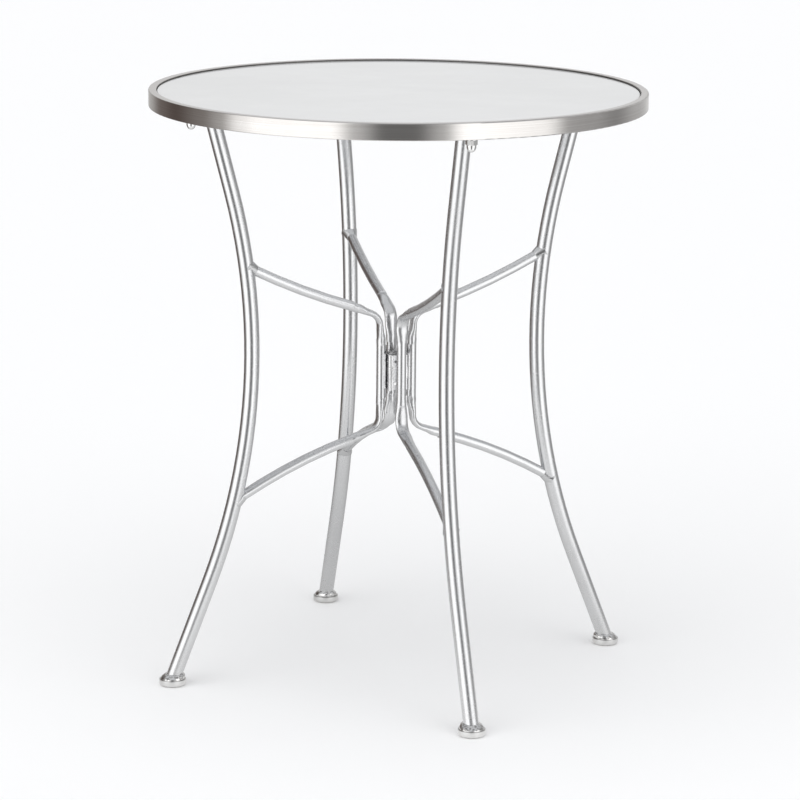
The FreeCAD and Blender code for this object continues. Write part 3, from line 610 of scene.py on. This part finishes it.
def moulded_plastic():
    """Pale moulded glide: fine spark grain, scuffed and dusty towards the floor."""
    material, tree, shader, place = new_material("pale_glide")
    grain = noise(tree, place, 1300.0, 2.0, 0.5)
    low_dust = use_group(tree, dust, Vector=place, Reach=0.004, Scale=300.0)
    nicks = use_group(tree, scratches, Vector=place, Scale=180.0, Width=0.02)
    colour = blend_colour(tree, low_dust.outputs["Mask"], (0.62, 0.62, 0.60),
                          (0.36, 0.34, 0.31))
    colour = tint(tree, colour, nicks.outputs["Mask"], 0.5, (0.78, 0.78, 0.77))
    rough = change(tree, 0.45, grain, 0.2)
    feed(tree, shader, Base_Color=colour, Roughness=rough)
    bump(tree, shader, grain, 0.2, 0.00005)
    return material


# ---------------------------------------------------------------- added pieces

def merged_copy(node):
    """A carried-over part's mesh with its loose triangles joined."""
    bm = bmesh.new()
    bm.from_mesh(nodes[node].data)
    bmesh.ops.remove_doubles(bm, verts=bm.verts, dist=MERGE)
    return bm


def finish_piece(bm, name, material, body, smooth_angle, turn_faces=True):
    """Turns a bmesh into a piece that rides on a body, with sharp edges kept sharp."""
    if turn_faces:
        bmesh.ops.recalc_face_normals(bm, faces=bm.faces)
    for face in bm.faces:
        face.smooth = True
    limit = math.radians(smooth_angle)
    for edge in bm.edges:
        edge.smooth = not edge.is_manifold or edge.calc_face_angle(0.0) < limit
    mesh = bpy.data.meshes.new(name)
    bm.to_mesh(mesh)
    bm.free()
    mesh.materials.append(material)
    piece = link(bpy.data.objects.new(name, mesh))
    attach(piece, body)
    return piece


def turned(bm, outline, steps):
    """Spins an outline of (radius, height) points round the vertical axis."""
    points = [bm.verts.new((radius, 0, height)) for radius, height in outline]
    edges = [bm.edges.new(pair) for pair in zip(points, points[1:])]
    bmesh.ops.spin(bm, geom=points + edges, cent=(0, 0, 0), axis=(0, 0, 1),
                   angle=math.tau, steps=steps, use_merge=True, use_duplicate=False)
    bmesh.ops.remove_doubles(bm, verts=bm.verts, dist=MERGE)


def arc_points(centre, radius, first, last, count):
    """Points (radius, height) of a round stretch of an outline, angles in degrees."""
    result = []
    for index in range(count + 1):
        angle = math.radians(first + (last - first) * index / count)
        result.append((centre[0] + radius * math.cos(angle),
                       centre[1] + radius * math.sin(angle)))
    return result


def make_cap_nut(wing, material):
    """Domed cap nut: a hexagon with turned-off corners and a dome hanging below it."""
    node = "cap_nut_" + wing
    low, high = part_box(node)
    middle = (low + high) / 2
    flats = min(high.x - low.x, high.y - low.y)
    sector = math.radians(60)
    bore_radius = 4.6 * MM
    face_radius = 6.0 * MM
    corner_radius = 7.3 * MM
    corner_drop = 0.75 * MM
    dome_radius = 5.8 * MM
    skirt = 0.9 * MM
    seat = high.z
    hex_low = seat - 6.5 * MM
    steps = 120
    bm = bmesh.new()
    # The hexagon grows out of a fine ring, so that its corners can be turned off.
    turned(bm, [
        (bore_radius, seat), (face_radius, seat), (corner_radius, seat - corner_drop),
        (corner_radius, hex_low + corner_drop), (face_radius, hex_low),
        (dome_radius, hex_low)], steps)
    for vert in bm.verts:
        reach = math.hypot(vert.co.x, vert.co.y)
        around = math.atan2(vert.co.y, vert.co.x) % sector - sector / 2
        limit = flats / 2 / math.cos(around)
        if reach > limit:
            shrink = limit / reach
            vert.co.x *= shrink
            vert.co.y *= shrink
    dome_drop = hex_low - low.z
    dome_points = 12
    fullness = 0.85
    dome = [(dome_radius, hex_low), (dome_radius, hex_low - skirt)]
    for index in range(1, dome_points):
        angle = math.radians(90 * index / dome_points)
        dome.append((dome_radius * math.cos(angle) ** fullness,
                     hex_low - skirt - (dome_drop - skirt) * math.sin(angle)))
    dome.append((0.0, low.z))
    turned(bm, dome, steps)
    bmesh.ops.remove_doubles(bm, verts=bm.verts, dist=MERGE)
    spin = Matrix.Rotation(WINGS[wing].angle(Vector((1, 0, 0))), 4, "Z")
    bmesh.ops.transform(bm, matrix=Matrix.Translation((middle.x, middle.y, 0)) @ spin,
                        verts=bm.verts)
    piece = finish_piece(bm, "domed_nut_" + wing, material, wing + "_wing",
                         25.0)
    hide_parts(node)


def cap_outline(low, top, wide):
    """Half outline of a foot cap, and the height where its shoulder starts."""
    band = low + CAP_BAND
    neck = LEG_RADIUS + 0.5 * MM
    recess = low + 0.6 * MM
    roll = 1.7 * MM
    lip = 0.55 * MM
    crease = band + 0.35 * MM
    shoulder = wide - 1.45 * MM
    closing = top - 0.25 * MM
    outline = [(0.0, recess), (wide - 3.4 * MM, recess), (wide - 3.0 * MM, low)]
    outline += arc_points((wide - roll, low + roll), roll, -90, 0, 6)
    outline += arc_points((wide - lip, band - lip), lip, 0, 90, 5)
    outline += [(wide - 1.25 * MM, band - 0.1 * MM), (shoulder, crease)]
    points = 14
    hollow = 1.3
    for index in range(1, points + 1):
        angle = math.radians(90 * index / points)
        outline.append((neck + (shoulder - neck) * math.cos(angle) ** hollow,
                        crease + (top - crease) * math.sin(angle) ** hollow))
    outline += [(neck - 1.6 * MM, closing), (0.0, closing)]
    return outline, crease


def make_foot_cap(wing, material):
    """Pressed foot cap: rolled lower edge, straight band, lip, shoulder up to the leg."""
    node = "foot_cap_" + wing
    low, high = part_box(node)
    middle = (low + high) / 2
    top = high.z
    outline, crease = cap_outline(low.z, top, (high.x - low.x) / 2)
    bm = bmesh.new()
    turned(bm, outline, 96)
    out = WINGS[wing]
    across = UP.cross(out)
    lean = LEG_SLOPE * top / 2
    stretch = 1 / math.cos(math.atan(LEG_SLOPE)) - 1
    dents_per_metre = 330
    dent_depth = 0.5 * MM
    for vert in bm.verts:
        share = (vert.co.z - crease) / (top - crease)
        if share <= 0:
            continue
        # The shoulder leans in with the leg, and is a little uneven from its weld.
        # Each wing reads its own stretch of the noise.
        flat = Vector((vert.co.x, vert.co.y, 0))
        dent = field.noise(vert.co * dents_per_metre + out * 9)
        dent *= math.sin(math.pi * min(share, 1))
        flat += flat.normalized() * dent * dent_depth
        reach = flat.dot(out) * (1 + stretch * share) - lean * share
        flat = out * reach + across * flat.dot(across)
        vert.co = flat + UP * vert.co.z
    bmesh.ops.translate(bm, vec=(middle.x, middle.y, 0), verts=bm.verts)
    piece = finish_piece(bm, "pressed_cap_" + wing, material, wing + "_wing",
                         35.0)
    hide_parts(node)


def pushed_in(point, corner_height, upright, rise, inset):
    """How far a point (reach, height) of the tube moves into a bend that it is near."""
    first = Vector((0, upright))
    second = Vector((math.cos(rise), math.sin(rise) * upright))
    length = BEND_RADIUS * math.tan(first.angle(second) / 2)
    corner = Vector((inset, corner_height))
    start = corner - first * length
    end = corner + second * length
    centre = start + Vector((BEND_RADIUS, 0))
    before = (start - point).dot(first)
    after = (point - end).dot(second)
    if before > 0:
        share = 1 - before / BEND_TAPER
        inward = Vector((1, 0))
    elif after > 0:
        share = 1 - after / BEND_TAPER
        inward = (centre - end).normalized()
    else:
        share = 1.0
        inward = (centre - point).normalized()
    share = max(share, 0.0)
    return inward * BEND_PRESS * share * share * (3 - 2 * share)  # eases in and out


def make_stretcher(wing, material):
    """C-shaped tube, its bends pressed in from outside, so its inside runs smooth."""
    node = "stretcher_" + wing
    low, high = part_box(node)
    out = WINGS[wing]
    inset = min(low.dot(out), high.dot(out)) + TUBE_RADIUS
    bm = merged_copy(node)
    for vert in bm.verts:
        point = Vector((vert.co.dot(out), vert.co.z))
        for corner_height, upright, rise in BENDS:
            move = pushed_in(point, corner_height, upright, rise, inset)
            vert.co += out * move.x + UP * move.y
    piece = finish_piece(bm, "bent_tube_" + wing, material, wing + "_wing",
                         40.0, turn_faces=False)
    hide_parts(node)


def even_faces(bm, name, size):
    """A bmesh made again with small even faces, lightly smoothed."""
    mesh = bpy.data.meshes.new(name)
    bm.to_mesh(mesh)
    bm.free()
    helper = link(bpy.data.objects.new(name, mesh))
    remesh = helper.modifiers.new("even_faces", "REMESH")
    remesh.mode = "VOXEL"
    remesh.voxel_size = size
    bpy.context.view_layer.update()
    graph = bpy.context.evaluated_depsgraph_get()
    even = bpy.data.meshes.new_from_object(helper.evaluated_get(graph))
    bpy.data.objects.remove(helper)
    bm = bmesh.new()
    bm.from_mesh(even)
    bpy.data.meshes.remove(even)
    for _ in range(2):
        bmesh.ops.smooth_vert(bm, verts=bm.verts, factor=0.5, use_axis_x=True,
                              use_axis_y=True, use_axis_z=True)
    bm.normal_update()
    return bm


def make_weld(end, wing, material):
    """Weld bead at an arm's end, with the even ripples that a torch leaves."""
    node = f"weld_{end}_{wing}"
    bm = even_faces(merged_copy(node), node + "_copy", 0.4 * MM)
    low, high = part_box(node)
    middle = (low + high) / 2
    out = WINGS[wing]
    across = UP.cross(out)
    ripples = 24
    depth = 0.16 * MM
    sweep = 1.6 * MM
    for vert in bm.verts:
        arm = vert.co - middle
        around = math.atan2(arm.dot(across), arm.z)
        lag = arm.dot(out) / sweep
        wave = abs(math.sin(ripples / 2 * around + lag / 2))
        vert.co += vert.normal * depth * (wave - 0.6)
    piece = finish_piece(bm, f"{end}_bead_{wing}", material, wing + "_wing",
                         180.0)
    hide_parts(node)


def make_tab_weld(wing, material):
    """Fillet weld where a leg's top meets the underside of its tab."""
    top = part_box("leg_tab_" + wing)[0].z
    out = WINGS[wing]
    leg = nodes["leg_" + wing].data
    rim = [v.co for v in leg.vertices if v.co.z > top - 0.2 * MM]
    reach = [p.dot(out) for p in rim]
    middle = out * (min(reach) + max(reach)) / 2
    half_long = (max(reach) - min(reach)) / 2
    half_wide = max(abs(p.dot(UP.cross(out))) for p in rim)
    throat = 2.2 * MM
    buried = half_wide - 0.4 * MM
    outline = [(buried, top), (half_wide + throat, top)]
    outline += [(half_wide + throat * share, top - throat * (1 - share) ** 1.3)
                for share in (0.8, 0.6, 0.4, 0.2)]
    outline += [(buried, top - throat), (buried, top)]
    bm = bmesh.new()
    turned(bm, outline, 144)
    ripples = 36
    ripple_height = 0.18 * MM
    for vert in bm.verts:
        around = math.atan2(vert.co.y, vert.co.x)
        reach_now = math.hypot(vert.co.x, vert.co.y)
        if reach_now > half_wide and vert.co.z < top - 0.05 * MM:
            wave = abs(math.sin(ripples / 2 * around))
            grow = 1 + ripple_height / reach_now * wave
            vert.co.x *= grow
            vert.co.y *= grow
    bmesh.ops.scale(bm, vec=(half_long / half_wide, 1, 1), verts=bm.verts)
    turn = Matrix.Rotation(math.atan2(out.y, out.x), 4, "Z")
    bmesh.ops.transform(bm, matrix=Matrix.Translation(middle) @ turn, verts=bm.verts)
    finish_piece(bm, "tab_bead_" + wing, material, wing + "_wing", 60.0)


def dress(node, material):
    """Gives a carried-over metal part its finish."""
    data = nodes[node].data
    data.materials.clear()
    data.materials.append(material)


# ---------------------------------------------------------------- putting it together

make_camera()
make_studio()

hoop = brushed_hoop()
glass = white_glass()
tube = polished_metal("polished_tube", (0.745, 0.75, 0.76), (0.60, 0.60, 0.61), 0.235)
bright = polished_metal("bright_fastener", (0.86, 0.86, 0.855), (0.70, 0.70, 0.69), 0.07,
                        line_scale=2200.0, mark_scale=80.0)
foot = cap_metal()
zinc = zinc_plate()
bead = weld_metal()
rubber = soft_rubber()
plastic = moulded_plastic()

for node in ("table_ring", "panel_ledge"):
    dress(node, hoop)
dress("glass_panel", glass)
dress("panel_gasket", rubber)
for wing in WINGS:
    for name in ("rim_plate_", "leg_", "leg_tab_"):
        dress(name + wing, tube)
    for name in ("rim_bolt_", "washer_"):
        dress(name + wing, bright)
    make_foot_cap(wing, foot)
    make_stretcher(wing, tube)
    dress("foot_glide_" + wing, plastic)
    make_cap_nut(wing, bright)
    make_weld("upper", wing, bead)
    make_weld("lower", wing, bead)
    make_tab_weld(wing, bead)
for one, other in HINGES:
    for node in (f"hinge_leaf_{one}_to_{other}", f"hinge_leaf_{other}_to_{one}",
                 f"hinge_pin_{one}_{other}"):
        dress(node, zinc)
